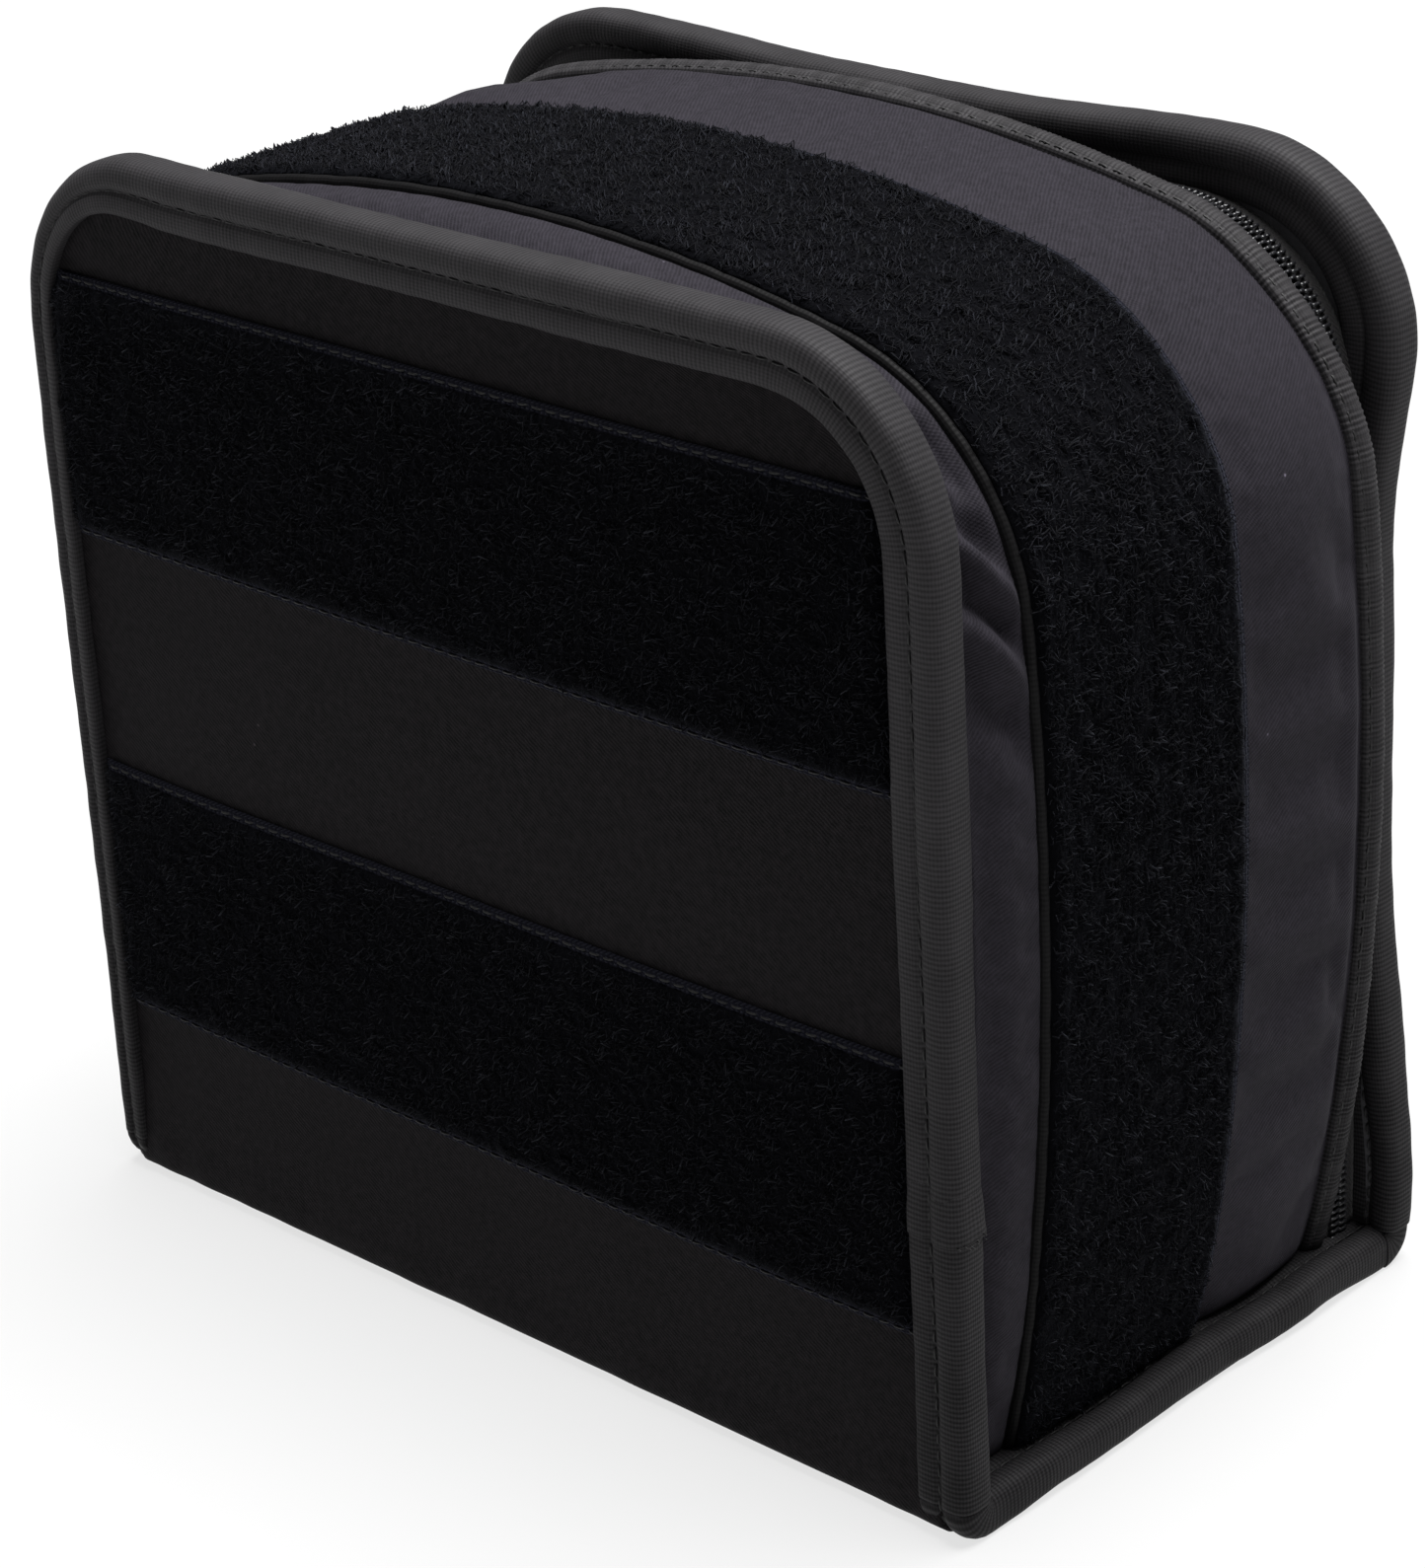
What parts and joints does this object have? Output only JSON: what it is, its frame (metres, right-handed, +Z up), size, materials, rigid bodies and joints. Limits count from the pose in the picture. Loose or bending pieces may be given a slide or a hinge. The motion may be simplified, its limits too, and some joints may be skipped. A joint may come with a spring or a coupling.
{
  "type": "cable organizer pouch",
  "caption": "Upright padded pouch with a stiff front panel, an arched padded gusset with loop bands and a zipped door hinged at the base, with cable loops and a mesh pocket inside.",
  "frame": {"origin": "on the floor, at the middle of the pouch's base", "axes": "+Z up, -Y out of the front panel with the two loop strips, +Y out of the zipped door, +X to the right as seen from the front"},
  "size_m": [0.2248, 0.124, 0.2075],
  "materials": {
    "shell_twill": "matte woven twill",
    "gusset_twill": "matte woven twill",
    "grosgrain_binding": "ribbed matte tape",
    "loop_pile": "fuzzy loop pile",
    "piping_cord": "woven selvage",
    "lining_cloth": "plain woven lining",
    "stiff_foam": "dense foam board",
    "soft_foam": "open-cell foam",
    "zip_tape": "woven zip tape",
    "zip_coil": "nylon coil",
    "slider_enamel": "satin enamel",
    "elastic_web": "ribbed woven elastic",
    "pocket_mesh": "open knitted mesh"
  },
  "bodies": {
    "shell": {"front_cover": "shell_twill", "front_board": "stiff_foam", "front_lining": "lining_cloth", "front_binding": "grosgrain_binding", "base_cover": "shell_twill", "base_board": "stiff_foam", "base_lining": "lining_cloth", "base_binding_left": "grosgrain_binding", "base_binding_right": "grosgrain_binding", "front_loop_strip_upper": "loop_pile", "front_loop_strip_lower": "loop_pile", "gusset_front_band": "gusset_twill", "gusset_piping": "piping_cord", "gusset_loop_band": "loop_pile", "gusset_cover": "gusset_twill", "gusset_foam": "soft_foam", "gusset_lining": "lining_cloth", "gusset_rear_binding": "grosgrain_binding", "zip_tape_gusset": "zip_tape", "zip_coil_gusset": "zip_coil", "cable_loops_upper": "elastic_web", "cable_loops_lower": "elastic_web", "hinge_fold": "shell_twill"},
    "door": {"door_cover": "shell_twill", "door_board": "stiff_foam", "door_lining": "lining_cloth", "door_binding": "grosgrain_binding", "zip_tape_door": "zip_tape", "zip_coil_door": "zip_coil", "mesh_pocket": "pocket_mesh", "mesh_pocket_hem": "elastic_web"},
    "slider_left": {"zip_slider_left": "slider_enamel"},
    "slider_right": {"zip_slider_right": "slider_enamel"},
    "pull_left": {"zip_pull_left": "slider_enamel"},
    "pull_right": {"zip_pull_right": "slider_enamel"}
  },
  "joints": [
    {"name": "door_hinge", "type": "hinge", "parent": "shell", "child": "door", "pos_m": [0, 0.0585, 0.0035], "axis": [-1, 0, 0], "range_deg": [0, 90]},
    {"name": "zip_slide_left", "type": "slide", "parent": "shell", "child": "slider_left", "axis": [-1, 0, 0], "range_m": [0, 0.0541]},
    {"name": "zip_slide_right", "type": "slide", "parent": "shell", "child": "slider_right", "axis": [1, 0, 0], "range_m": [0, 0.0541]},
    {"name": "pull_hinge_left", "type": "hinge", "parent": "slider_left", "child": "pull_left", "pos_m": [-0.0058, 0.05, 0.2], "axis": [0, 1, 0], "range_deg": [0, 100]},
    {"name": "pull_hinge_right", "type": "hinge", "parent": "slider_right", "child": "pull_right", "pos_m": [0.0058, 0.05, 0.2], "axis": [0, -1, 0], "range_deg": [0, 100]}
  ]
}
